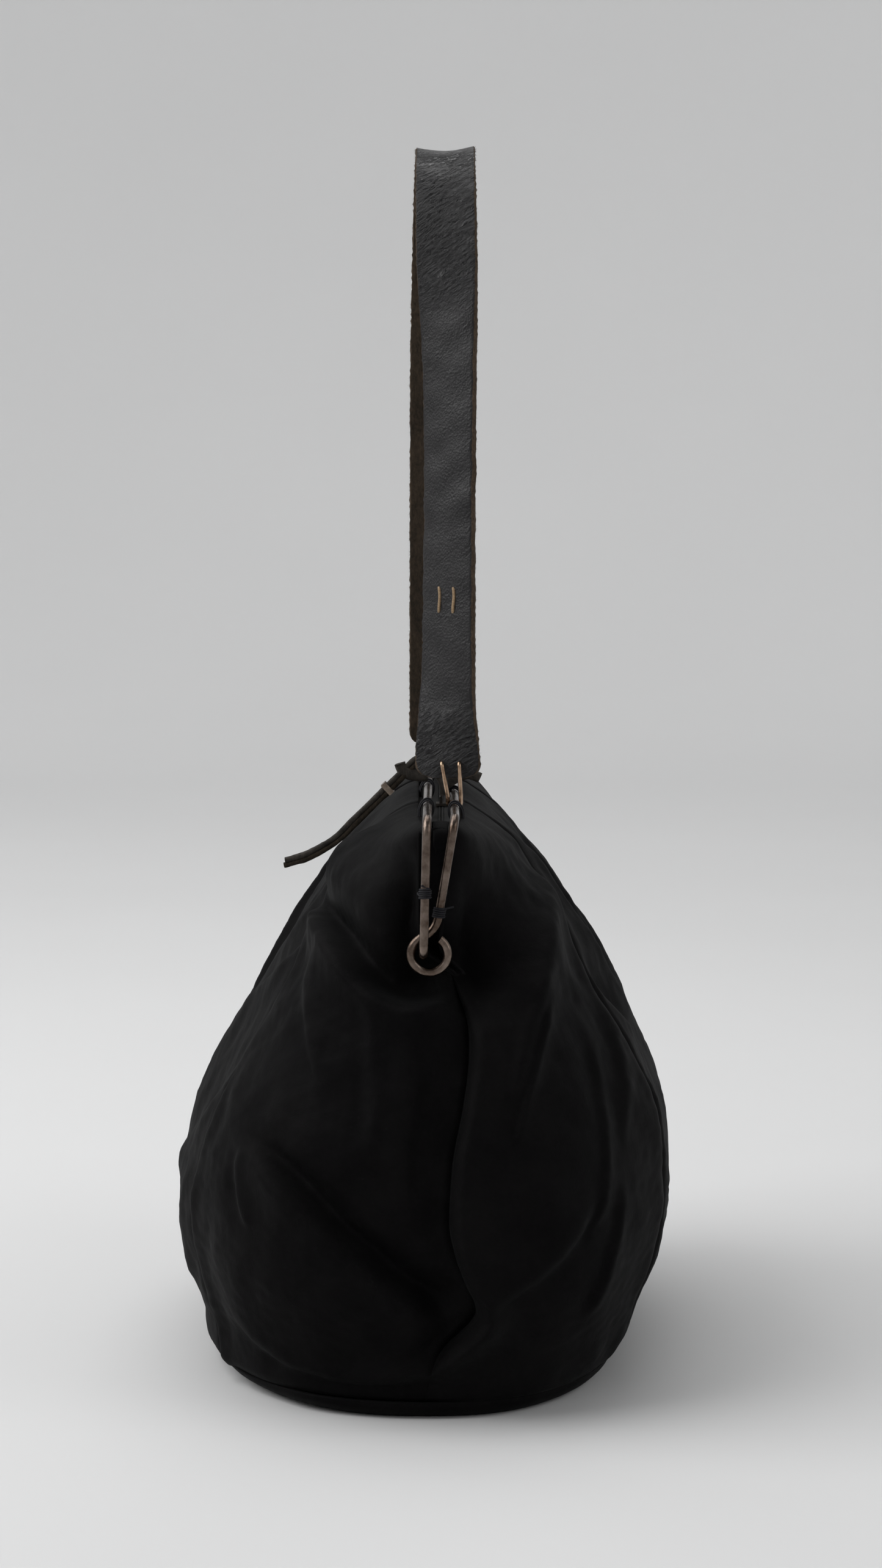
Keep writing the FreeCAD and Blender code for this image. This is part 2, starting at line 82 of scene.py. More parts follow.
class Shader:
    """A short way to wire a node material."""

    def __init__(self, name, **sockets):
        self.material = bpy.data.materials.new(name)
        self.material.use_nodes = True
        self.tree = self.material.node_tree
        self.surface = self.tree.nodes["Principled BSDF"]
        self.place = self.node("ShaderNodeTexCoord").outputs["Object"]
        for socket, value in sockets.items():
            self.surface.inputs[socket.replace("_", " ")].default_value = value

    def node(self, kind, **settings):
        made = self.tree.nodes.new(kind)
        for name, value in settings.items():
            setattr(made, name, value)
        return made

    def link(self, out, into):
        self.tree.links.new(out, into)

    def stretched(self, scale):
        """The place, scaled differently along each axis."""
        made = self.node("ShaderNodeMapping")
        made.inputs["Scale"].default_value = scale
        self.link(self.place, made.inputs["Vector"])
        return made.outputs["Vector"]

    def noise(self, size, detail=4.0, rough=0.6, place=None):
        """Noise whose blobs are about size metres across."""
        made = self.node("ShaderNodeTexNoise")
        made.inputs["Scale"].default_value = 1 / size
        made.inputs["Detail"].default_value = detail
        made.inputs["Roughness"].default_value = rough
        self.link(place or self.place, made.inputs["Vector"])
        return made.outputs["Fac"]

    def cells(self, size, feature="F1", place=None):
        made = self.node("ShaderNodeTexVoronoi", feature=feature)
        made.inputs["Scale"].default_value = 1 / size
        self.link(place or self.place, made.inputs["Vector"])
        return made.outputs["Distance"]

    def ramp(self, value, *stops):
        made = self.node("ShaderNodeValToRGB")
        points = made.color_ramp.elements
        while len(points) < len(stops):
            points.new(0.5)
        for point, (at, shade) in zip(points, stops):
            point.position = at
            point.color = (*(shade if isinstance(shade, tuple) else (shade,) * 3), 1)
        self.link(value, made.inputs["Fac"])
        return made.outputs["Color"]

    def mix(self, share, one, two):
        made = self.node("ShaderNodeMix", data_type="RGBA")
        self.link(share, made.inputs[0])
        for source, socket in ((one, made.inputs[6]), (two, made.inputs[7])):
            if isinstance(source, tuple):
                socket.default_value = (*source, 1)
            else:
                self.link(source, socket)
        return made.outputs[2]

    def maths(self, operation, one, two):
        made = self.node("ShaderNodeMath", operation=operation)
        for source, socket in ((one, made.inputs[0]), (two, made.inputs[1])):
            if isinstance(source, (int, float)):
                socket.default_value = source
            else:
                self.link(source, socket)
        return made.outputs[0]

    def colour(self, value):
        self.link(value, self.surface.inputs["Base Color"])

    def roughness(self, value, lowest, highest):
        made = self.node("ShaderNodeMapRange")
        made.inputs["To Min"].default_value = lowest
        made.inputs["To Max"].default_value = highest
        self.link(value, made.inputs["Value"])
        self.link(made.outputs[0], self.surface.inputs["Roughness"])

    def bump(self, *layers):
        """Layers of (height, depth in metres), one on the other."""
        normal = None
        for height, depth in layers:
            made = self.node("ShaderNodeBump")
            made.inputs["Distance"].default_value = depth
            self.link(height, made.inputs["Height"])
            if normal is not None:
                self.link(normal, made.inputs["Normal"])
            normal = made.outputs["Normal"]
        self.link(normal, self.surface.inputs["Normal"])


def body_leather():
    """Dense black nubuck: a fine nap, faint pale rubbing and a few scuffs."""
    s = Shader("body_leather", Specular_IOR_Level=0.045, Sheen_Weight=0.010, Sheen_Roughness=0.45)
    s.surface.inputs["Sheen Tint"].default_value = (0.75, 0.8, 0.8, 1)
    rubbed = s.ramp(s.noise(0.07, 6, 0.65), (0.42, (0.0017, 0.0015, 0.0017)),
                    (0.72, (0.0044, 0.0041, 0.0042)))
    speck = s.ramp(s.noise(0.012, 8, 0.7), (0.66, 0.0), (0.78, 0.8))
    s.colour(s.mix(speck, rubbed, (0.013, 0.0125, 0.012)))
    s.roughness(s.noise(0.02, 5), 0.56, 0.78)
    s.bump((s.noise(0.0006, 3), 0.00012), (s.noise(0.006, 6, 0.7), 0.00035))
    return s.material


def strap_leather():
    """Waxed black grain, half glossy, creased slantwise near the top of the loop and its ends."""
    s = Shader("strap_leather", Specular_IOR_Level=0.27)
    s.colour(s.ramp(s.noise(0.03, 6, 0.7), (0.35, (0.0062, 0.0056, 0.0062)),
                    (0.75, (0.0125, 0.0115, 0.0122))))
    pores = s.cells(0.0011, place=s.stretched((1, 1, 0.8)))
    turned = s.node("ShaderNodeMapping", vector_type="TEXTURE")
    turned.inputs["Rotation"].default_value = (0, math.radians(-34), 0)
    turned.inputs["Scale"].default_value = (2.0, 1, 0.6)
    s.link(s.place, turned.inputs["Vector"])
    creases = s.ramp(s.noise(0.0030, 5, 0.62, turned.outputs["Vector"]),
                     (0.40, 0.0), (0.50, 0.75), (0.62, 1.0))
    height = s.node("ShaderNodeSeparateXYZ")
    s.link(s.place, height.inputs[0])
    bands = s.ramp(height.outputs["Z"], (0.0, 0.0), (0.350, 0.3), (0.362, 0.8), (0.385, 0.03),
                   (0.605, 0.03), (0.640, 0.7), (0.692, 1.0), (0.702, 0.25))
    where = s.maths("MULTIPLY", bands, s.ramp(s.noise(0.02, 3, 0.5), (0.38, 0.35), (0.6, 1.0)))
    dull = s.maths("SUBTRACT", s.noise(0.004, 5), s.maths("MULTIPLY", where, 0.55))
    s.roughness(dull, 0.13, 0.68)
    s.bump((pores, 0.00016), (s.maths("MULTIPLY", creases, where), 0.0032))
    return s.material


def raw_leather(name, dark, light, size=0.0015):
    """A cut edge or a flesh side: short brown fibres."""
    s = Shader(name, Specular_IOR_Level=0.2, Roughness=0.9)
    fibres = s.noise(size, 8, 0.75, s.stretched((1, 1, 0.45)))
    patches = s.maths("MULTIPLY", s.noise(0.012, 4), 0.3)
    shade = s.maths("ADD", s.maths("MULTIPLY", fibres, 0.7), patches)
    s.colour(s.ramp(shade, (0.36, dark), (0.66, light)))
    s.bump((fibres, 0.0009), (s.noise(0.0004, 3), 0.0002))
    return s.material


def old_metal(name, dark, light, lowest, highest, dents=0.00022):
    """Hammered wire with a brown patina."""
    s = Shader(name, Metallic=1.0)
    s.colour(s.ramp(s.noise(0.009, 6, 0.65), (0.35, dark), (0.7, light)))
    s.roughness(s.noise(0.003, 6, 0.7), lowest, highest)
    hammered = s.cells(0.004, place=s.stretched((1, 0.6, 0.6)))
    s.bump((hammered, dents), (s.noise(0.0008, 5), 0.00006))
    return s.material


def thread(name, dark, light, pitch=0.0009):
    """Twisted thread with a little wax."""
    s = Shader(name, Specular_IOR_Level=0.2)
    strands = s.noise(pitch, 4, 0.6, s.stretched((1, 1, 2.2)))
    s.colour(s.ramp(strands, (0.35, dark), (0.7, light)))
    s.roughness(strands, 0.45, 0.75)
    s.bump((strands, 0.0003))
    return s.material


def woven(name, dark, light):
    """A fine woven tape."""
    s = Shader(name, Specular_IOR_Level=0.3, Roughness=0.85)
    wave = s.node("ShaderNodeTexWave", bands_direction="Y")
    wave.inputs["Scale"].default_value = 420
    wave.inputs["Distortion"].default_value = 0.6
    s.link(s.place, wave.inputs["Vector"])
    s.colour(s.ramp(wave.outputs["Fac"], (0.2, dark), (0.8, light)))
    s.bump((wave.outputs["Fac"], 0.0002))
    return s.material


def studio_grey(name, shade):
    """Plain paper that glows faintly far from the middle, as a lit wall does."""
    s = Shader(name, Roughness=0.9, Specular_IOR_Level=0.15)
    s.colour(s.ramp(s.noise(0.9, 3), (0.3, tuple(0.97 * x for x in shade)), (0.7, shade)))
    s.surface.inputs["Emission Color"].default_value = (1, 1, 1, 1)
    flat = s.stretched((1, 1, 0))
    length = s.node("ShaderNodeVectorMath", operation="LENGTH")
    s.link(flat, length.inputs[0])
    glow = s.node("ShaderNodeMapRange", interpolation_type="SMOOTHSTEP")
    glow.inputs["From Min"].default_value = GLOW_RADII[0]
    glow.inputs["From Max"].default_value = GLOW_RADII[1]
    glow.inputs["To Max"].default_value = GLOW
    s.link(length.outputs["Value"], glow.inputs["Value"])
    s.link(glow.outputs[0], s.surface.inputs["Emission Strength"])
    return s.material


MATERIALS = {
    "body": body_leather(),
    "strap": strap_leather(),
    "flesh": raw_leather("flesh_side", (0.011, 0.008, 0.005), (0.058, 0.041, 0.027)),
    "edge": raw_leather("cut_edge", (0.022, 0.015, 0.010), (0.125, 0.088, 0.060), 0.0009),
    "puller_grain": raw_leather("puller_grain", (0.012, 0.0105, 0.009), (0.062, 0.054, 0.046),
                                0.003),
    "puller_flesh": raw_leather("puller_flesh", (0.007, 0.0055, 0.004), (0.05, 0.037, 0.024)),
    "steel": old_metal("frame_steel", (0.068, 0.047, 0.035), (0.215, 0.172, 0.146), 0.13, 0.34),
    "bronze": old_metal("staple_bronze", (0.22, 0.14, 0.09), (0.56, 0.40, 0.28), 0.15, 0.34,
                        0.0001),
    "band": old_metal("band_metal", (0.14, 0.11, 0.09), (0.42, 0.35, 0.28), 0.22, 0.42, 0.0002),
    "cord": thread("lashing_cord", (0.004, 0.004, 0.0055), (0.015, 0.0145, 0.018)),
    "stitch": thread("stitch_thread", (0.17, 0.11, 0.06), (0.42, 0.30, 0.18)),
    "tape": woven("zip_tape", (0.006, 0.006, 0.006), (0.02, 0.02, 0.02)),
    "coil": thread("zip_coil", (0.008, 0.008, 0.008), (0.02, 0.02, 0.02), 0.002),
    "zip_metal": old_metal("zip_metal", (0.045, 0.04, 0.036), (0.13, 0.115, 0.10), 0.3, 0.5,
                           0.0001),
}


# ------------------------ mesh helpers


def add_to_scene(name, data):
    made = bpy.data.objects.new(name, data)
    bpy.context.scene.collection.objects.link(made)
    return made


def mesh_piece(name, points, faces, materials, kinds=None):
    """A smooth mesh from points in millimetres."""
    mesh = bpy.data.meshes.new(name)
    mesh.from_pydata((np.asarray(points) * MM).tolist(), [], faces)
    for key in materials:
        mesh.materials.append(MATERIALS[key])
    if kinds is not None:
        mesh.polygons.foreach_set("material_index", np.asarray(kinds, np.int32))
    mesh.polygons.foreach_set("use_smooth", np.ones(len(mesh.polygons), bool))
    mesh.validate()
    return add_to_scene(name, mesh)


def grid_faces(rows, columns, closed=False, flip=False):
    """Quads over a grid of rows and columns; a closed one joins its last column to its first."""
    faces = []
    for row in range(rows - 1):
        for column in range(columns if closed else columns - 1):
            a = row * columns + column
            b = row * columns + (column + 1) % columns
            face = (a, b, b + columns, a + columns)
            faces.append(face[::-1] if flip else face)
    return faces


def grid_piece(name, points, material, closed=False, flip=False):
    faces = grid_faces(*points.shape[:2], closed, flip)
    return mesh_piece(name, points.reshape(-1, 3), faces, [material])


def capped_faces(rows, loop):
    """The faces of a closed tube of loops, with one face over each of its ends."""
    last = (rows - 1) * loop
    return [*grid_faces(rows, loop, closed=True), tuple(range(loop)),
            tuple(range(last, last + loop))[::-1]]


def unit(way):
    return way / np.linalg.norm(way, axis=-1, keepdims=True)


def run_along(points):
    """How far along a line each of its points is."""
    return np.concatenate([[0], np.cumsum(np.linalg.norm(np.diff(points, axis=0), axis=1))])


def thicken(piece, thickness):
    """Gives a sheet of leather its thickness, on its inner side."""
    made = piece.modifiers.new("thickness", "SOLIDIFY")
    made.thickness = thickness * MM
    made.offset = -1


def smooth_step(value, start, end):
    t = np.clip((np.asarray(value, float) - start) / (end - start), 0, 1)
    return t * t * (3 - 2 * t)


def eased(rows, at):
    """The rows' values between their first column's levels, with no overshoot."""
    rows, at = np.array(rows, float), np.asarray(at, float)
    level, step = rows[:, 0], np.diff(rows[:, 0])
    place = np.clip(np.searchsorted(level, at) - 1, 0, len(step) - 1)
    t = np.clip((at - level[place]) / step[place], 0, 1)
    out = []
    for column in rows[:, 1:].T:
        rise = np.diff(column) / step
        slope = np.zeros(len(level))
        slope[0], slope[-1] = rise[0], rise[-1]
        before, after = rise[:-1], rise[1:]
        same = before * after > 0
        slope[1:-1][same] = (2 * before * after)[same] / (before + after)[same]
        out.append((2 * t**3 - 3 * t**2 + 1) * column[place]
                   + (t**3 - 2 * t**2 + t) * step[place] * slope[place]
                   + (3 * t**2 - 2 * t**3) * column[place + 1]
                   + (t**3 - t**2) * step[place] * slope[place + 1])
    return out


def ripple(points, size, seed, waves=9):
    """Smooth bumps about size across, between about -1 and 1, the same ones each time."""
    draw = np.random.default_rng(seed)
    total = np.zeros(points.shape[:-1])
    for _ in range(waves):
        way = draw.normal(size=points.shape[-1])
        way *= draw.uniform(0.6, 1.5) / np.linalg.norm(way) * 2 * math.pi / size
        total += np.sin(points @ way + draw.uniform(0, 2 * math.pi))
    return total / math.sqrt(waves)


def curve_through(points, step):
    """Points about step apart on a smooth curve through the given ones."""
    points = np.array(points, float)
    ends = np.vstack([2 * points[0] - points[1], points, 2 * points[-1] - points[-2]])
    out = []
    for a, b, c, d in zip(ends[:-3], ends[1:-2], ends[2:-1], ends[3:]):
        count = max(2, int(np.linalg.norm(c - b) / step))
        t = np.linspace(0, 1, count, endpoint=False)[:, None]
        out.append(0.5 * (2 * b + (c - a) * t + (2 * a - 5 * b + 4 * c - d) * t**2
                          + (3 * b - a - 3 * c + d) * t**3))
    return np.vstack([*out, points[-1:]])


def fold(across, up, line, left, right, sharp=2.0):
    """The height of a fold along a line. left and right are (height, width) on each side of it,
    seen with the line running forwards, and each height fades to nothing at the line's ends."""
    line = curve_through(line, 4)
    spot = np.stack([across, up], -1)
    best = np.full(across.shape, np.inf)
    side = np.zeros(across.shape)
    share = np.zeros(across.shape)
    run = run_along(line)
    for number in range(len(line) - 1):
        a, way = line[number], line[number + 1] - line[number]
        t = np.clip((spot - a) @ way / (way @ way), 0, 1)
        off = spot - a - t[..., None] * way
        far = np.linalg.norm(off, axis=-1)
        near = far < best
        best = np.where(near, far, best)
        side = np.where(near, way[0] * off[..., 1] - way[1] * off[..., 0], side)
        share = np.where(near, (run[number] + t * (run[number + 1] - run[number])) / run[-1], share)
    signed = best * np.sign(side)
    fade = smooth_step(share, 0, 0.22) * (1 - smooth_step(share, 0.78, 1))
    on_left = 0.5 + 0.5 * np.tanh(signed / sharp)
    return fade * (left[0] * np.exp(-(best / left[1]) ** 1.6) * on_left
                   + right[0] * np.exp(-(best / right[1]) ** 1.6) * (1 - on_left))


def hollow(across, up, middle, size, depth):
    a = (across - middle[0]) / size[0]
    b = (up - middle[1]) / size[1]
    return -depth * np.exp(-(a * a + b * b))


# ------------------------ the leather's form

# Each row is a level, the half widths on the left and right, the half length, the middle
# across, and the roundness of the outline (2 is an ellipse).
FORM = (
    (0, 108, 101.5, 202, 0, 2.5),
    (3, 118.5, 108, 207.5, 0, 2.5),
    (8, 126.5, 112.5, 210.5, 0, 2.5),
    (16, 131.8, 117.2, 211.5, 0, 2.5),
    (30, 133, 122, 213, 0, 2.6),
    (46, 138, 128, 218, 0, 2.6),
    (67, 143.5, 136, 222, 0, 2.6),
    (86, 146.5, 141, 224, 0, 2.6),
    (105, 146, 143.5, 225, 0, 2.6),
    (124, 142, 143, 224, 0, 2.6),
    (145, 135, 140, 222, 0, 2.6),
    (163, 127, 134.5, 219, 0, 2.6),
    (184, 115.5, 125, 214, 0, 2.6),
    (204, 103.5, 115, 209, 0, 2.6),
    (221, 94, 105, 205, 0, 2.6),
    (240, 83, 95, 201, 0.5, 2.6),
    (258, 73, 83, 198, 1.5, 2.6),
    (277, 62.5, 68, 196, 3, 2.6),
    (294, 52.5, 52.5, 195, 4.5, 2.7),
    (308, 41, 38.5, 195, 6, 2.9),
    (316, 32, 28, 195, 7, 3.6),
    (mouth_level, 22, 18, 195, 7.5, 4.5),
    (mouth_level + 1.9, 17.5, 15, 194.6, 7.5, 4.5),
    (mouth_level + 2.9, 13, 12, 194, 7.5, 4.5),
)
HINGE_LEVEL = 256  # where the frame's halves turn, and the leather starts to slope in
SEAM_LEVEL = 10  # where the walls meet the base
SEAM_TUCK = 7  # how far a long side runs in under the gussets' edges
HEM_RISE, HEM_CLEAR = 4.6, 0.4  # the long sides' hems stand up outside the rods
LAP_ROLL = 7  # how far back the rolled edge of the lap starts to turn in
SEAM = {"left": 121, "right": 112}  # how far along the gussets' seams are, low down
# The line where the gusset's right half laps over its left half: level, across.
LAP = ((10, -2), (27, 2), (34, 5), (41, 11), (48, 18.5), (55, 24.5), (61, 27), (67, 26), (74, 22.5),
       (82, 19.3), (93, 15.5), (112, 12), (142, 13.6), (177, 20), (201, 23), (225, 23.5),
       (240, 20), (HINGE_LEVEL, 13))


def outline(level, start, end, count, crowd=0.0):
    """Points on the outline at a level, from one bearing to another, crowded towards the last.
    Bearing 0 is the middle of the near end, and 90 degrees is the middle of the right side."""
    left, right, length, middle, power = (float(x) for x in eased(FORM, level))
    bearing = np.linspace(start, end, 700)
    wave_x, wave_y = np.sin(bearing), np.cos(bearing)
    wide = np.where(wave_x > 0, right, left)
    x = middle + wide * np.sign(wave_x) * np.abs(wave_x) ** (2 / power)
    y = -length * np.sign(wave_y) * np.abs(wave_y) ** (2 / power)
    run = np.concatenate([[0], np.cumsum(np.hypot(np.diff(x), np.diff(y)))])
    share = np.linspace(0, 1, count)
    at = run[-1] * ((1 - crowd) * share + crowd * (1 - (1 - share) ** 2))
    return np.stack([np.interp(at, run, x), np.interp(at, run, y), np.full(count, level)], -1), at


def seam_bearing(level, seam):
    """The bearing, between 0 and 90 degrees, where the outline is that far along."""
    length, power = (float(eased(FORM, level)[k]) for k in (2, 4))
    seam = seam * (1 - 0.42 * float(smooth_step(level, 215, 318)))
    return math.acos(min(1, seam / length) ** (power / 2))


def bearing_across(level, across):
    """The bearing on the near end where the outline is that far across."""
    left, right, _, middle, power = (float(x) for x in eased(FORM, level))
    share = (across - middle) / (right if across > middle else left)
    return math.copysign(math.asin(min(1, abs(share)) ** (power / 2)), share)


def wall_levels(step):
    """Levels from the base's seam to the mouth, closer together where the leather slopes in, and
    on over the mouth's facings as far as the rods."""
    lower = np.arange(SEAM_LEVEL, HINGE_LEVEL, step)
    hem = mouth_level + np.array([0.7, 1.3, 1.9, 2.3, 2.6, 2.9])
    upper = np.linspace(HINGE_LEVEL, mouth_level, int(95 / step))
    return np.concatenate([lower, upper, hem])


def outward(points):
    """The grid's normals, turned away from the bag's middle line."""
    normal = np.cross(np.gradient(points, axis=1), np.gradient(points, axis=0))
    normal /= np.linalg.norm(normal, axis=-1, keepdims=True) + 1e-9
    away = points - np.array([0, 0, 150.0])
    flip = np.sign((normal * away).sum(-1).mean())
    return normal * flip


def puff(distance, groove=2.4, swell=1.6):
    """A sewn seam: a groove at the seam, and a swelling beside it."""
    return swell * np.exp(-((distance - 9) / 7) ** 2) - groove * np.exp(-(distance / 2.6) ** 2)


# Folds and hollows are placed by how far across or along a panel they are, and how far up. A
# hollow is its middle, its size and its depth, and a depth below zero makes it a swelling. A fold
# is its line, the (height, width) to its left and right, and how softly one turns into the other.
NEAR_HOLLOWS = (
    ((2, 249), (27, 15), 27),
    ((34, 262), (19, 30), 24),
    ((25, 232), (13, 13), 10),
    ((-15, 281), (12, 32), 19),
    ((-43, 287), (20, 17), -7),
    ((-62, 70), (34, 22), -6),
    ((6, 66), (13, 18), 9),
    ((60, 120), (34, 62), -8),
    ((-12, 120), (20, 30), 3),
)
NEAR_FOLDS = (
    # the left shoulder's lower fold hangs over the hollow's lip
    (((-72, 280), (-59, 268), (-45, 252), (-31, 238), (-13, 230.5), (5, 232), (21, 240)),
     (-15, 14), (12, 14), 3.2),
    (((-6, 324), (-26, 316), (-41, 307), (-54, 293), (-62, 278), (-66, 262)), (7, 12), (3, 18), 4),
    # the right shoulder's ridge
    (((18, 326), (38, 311), (54, 295), (63, 277), (61, 255), (53, 228), (46, 198), (42, 160)),
     (11, 14), (2, 11), 4),
    (((64, 230), (56, 200), (50, 175), (45, 148)), (3.2, 5), (-1.5, 9), 1.6),
    # the long slanting crease
    (((-103, 154), (-87, 140), (-66, 121), (-44, 101), (-12, 74), (14, 51)),
     (-15, 14), (8, 18), 3.2),
    (((27, 60), (46, 72), (64, 84), (84, 104), (92, 122)), (3, 15), (-6, 18), 4),
    # thin wrinkles beside the right seam
    (((58, 292), (74, 264), (88, 238), (100, 208), (108, 172), (110, 135)), (3.5, 5), (-2, 8), 2),
    (((84, 215), (93, 185), (97, 150), (95, 120), (86, 90)), (2.4, 5), (-1.4, 9), 2),
    (((107, 128), (106, 100), (95, 70), (82, 48)), (3, 6), (-2, 9), 2),
    # long soft folds on the left
    (((-58, 256), (-67, 234), (-66, 208), (-60, 178)), (3.5, 8), (-2, 11), 3),
    (((-78, 250), (-95, 215), (-106, 182), (-114, 148)), (3, 9), (-2, 12), 3),
    (((-101, 148), (-105, 132), (-103, 116), (-98, 100)), (3, 4.5), (-2, 8), 2),
    (((-33, 236), (-34, 205), (-32, 175), (-35, 145)), (2.4, 10), (-2.4, 12), 4),
    (((-6, 218), (-4, 185), (-9, 150), (-7, 115)), (-3, 13), (2.6, 13), 4),
    (((-118, 52), (-92, 31), (-62, 22), (-30, 20), (2, 23), (30, 20)), (2.5, 12), (-4.5, 14), 3),
)
FAR_HOLLOWS = (
    ((2, 250), (32, 18), 19),
    ((-30, 270), (20, 28), 12),
    ((32, 272), (18, 24), 10),
)
FAR_FOLDS = (
    (((70, 282), (52, 258), (28, 236), (4, 230), (-18, 236)), (6, 15), (-6, 14)),
    (((10, 226), (16, 190), (8, 150), (12, 110), (2, 70)), (5, 20), (-5, 18), 4),
    (((106, 160), (80, 128), (50, 98), (16, 70), (-12, 52)), (5, 20), (-7, 15), 4),
    (((-92, 220), (-100, 180), (-96, 140), (-84, 100)), (2.5, 8), (-1.5, 12), 3),
    (((60, 230), (64, 195), (58, 160)), (2, 8), (-1.5, 12), 3),
    (((-20, 220), (-34, 170), (-30, 120)), (-3, 16), (2, 14), 4),
)
SIDE_FOLDS = (
    (((-150, 292), (-118, 268), (-80, 236), (-40, 214), (0, 206)), (-6, 22), (4.5, 20), 5),
    (((150, 286), (124, 250), (96, 214), (60, 188)), (5, 20), (-5.5, 20), 5),
    (((-128, 190), (-86, 152), (-40, 122), (10, 104), (58, 98)), (-6, 24), (4, 22), 6),
    (((140, 150), (100, 116), (56, 78), (12, 58)), (4, 20), (-5, 20), 5),
    (((-60, 300), (-46, 262), (-20, 232)), (-3.5, 14), (2.5, 12), 4),
    (((36, 304), (50, 262), (44, 222), (26, 186)), (3.5, 15), (-3.5, 14), 4),
    (((92, 306), (100, 276), (92, 248)), (-3, 12), (2, 10), 4),
    (((-140, 92), (-104, 62), (-60, 44), (-14, 38)), (3.5, 14), (-4, 16), 5),
    (((-100, 300), (-104, 270), (-118, 236), (-124, 200)), (3, 10), (-3, 14), 4),
)


def relief(across, up, hollows, folds):
    """How far a panel's hollows and folds stand out together."""
    height = np.zeros(across.shape)
    for row in hollows:
        height += hollow(across, up, *row)
    for row in folds:
        height += fold(across, up, *row)
    return height


def long_side(y, z, turn):
    """Folds on a long side; turn is 1 or -1, and mirrors them end to end."""
    return relief(y * turn, z, (), SIDE_FOLDS) * (0.35 + 0.65 * smooth_step(z, 140, 230))


def dressed(points, depth):
    """Moves the leather out by depth and adds its small irregularities."""
    soft = 1.5 * ripple(points, 95, 3) + 0.55 * ripple(points, 34, 5)
    soft += 0.16 * ripple(points, 11, 9, 14)
    fade = smooth_step(points[..., 2], SEAM_LEVEL - 2, SEAM_LEVEL + 16)
    fade = fade * (1 - 0.8 * smooth_step(points[..., 2], 296, mouth_level))
    return points + outward(points) * (depth + soft * fade)[..., None]


def behind_legs(points):
    """Keeps the leather behind the legs of the frame."""
    y = points[..., 1]
    limit = np.where(points[..., 2] > 238, 196.2, 400)
    points[..., 1] = np.sign(y) * np.minimum(np.abs(y), limit)
    return points


# ------------------------ the leather's panels

TOP_FADE = (300, mouth_level)  # the folds die away between these levels
PLEAT_START = 244
PANEL_THICKNESS, PLEAT_THICKNESS, TAB_THICKNESS = 1.8, 1.4, 1.3


def finish_leather(piece, nodes, bend=None):
    """Gives a panel its thickness and hides the CAD nodes it stands for. A panel with bend set has
    its place baked into its mesh, and any other is attached to the lower body.
    """
    thicken(piece, PANEL_THICKNESS)
    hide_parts(*nodes)
    if bend:
        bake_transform(piece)
    else:
        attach(piece, "lower_body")


def side_panel(side):
    """A long side, from one gusset's seam to the other and from the base to the mouth."""
    sign, seam = SIGN[side], SEAM[side]
    rows, runs = [], []
    for level in wall_levels(2.6):
        start = seam_bearing(level, seam + SEAM_TUCK)
        points, run = outline(level, sign * start, sign * (math.pi - start), 124)
        rows.append(points)
        runs.append(np.minimum(run, run[-1] - run) - SEAM_TUCK)
    points, edge = np.array(rows), np.array(runs)
    raised = smooth_step(points[..., 2], mouth_level - 12, mouth_level + 2.9)
    raised *= smooth_step(edge, 15, 60)
    points[..., 2] += HEM_RISE * raised
    points[..., 0] += sign * HEM_CLEAR * raised
    top = 1 - smooth_step(points[..., 2], *TOP_FADE)
    depth = long_side(points[..., 1], points[..., 2], -sign) * smooth_step(edge, 0, 30) * top
    depth += 0.6 * np.exp(-((edge - 9) / 7) ** 2) * top - 2.6 * (1 - smooth_step(edge, -1, 5))
    if side == "left":
        depth -= 1.5 * np.exp(-(edge / 16) ** 2) * smooth_step(points[..., 2], 30, 60) * top
    depth += puff(points[..., 2] - SEAM_LEVEL, 0.9, 0.6)
    points = dressed(points, depth)
    piece = grid_piece(f"leather_{side}_side", points, "body", flip=side == "left")
    finish_leather(piece, [f"{side}_side_panel", f"{side}_upper_panel"], side)


def lap_across(level, side):
    """Where one half of a gusset ends: at the lap low down, and at the frame's leg above it."""
    lap = float(eased(LAP, min(level, HINGE_LEVEL))[0])
    leg = -2.5 if side == "left" else 4.5 + 8 * (level - HINGE_LEVEL) / 66
    share = float(smooth_step(level, PLEAT_START, 262))
    return lap * (1 - share) + leg * share


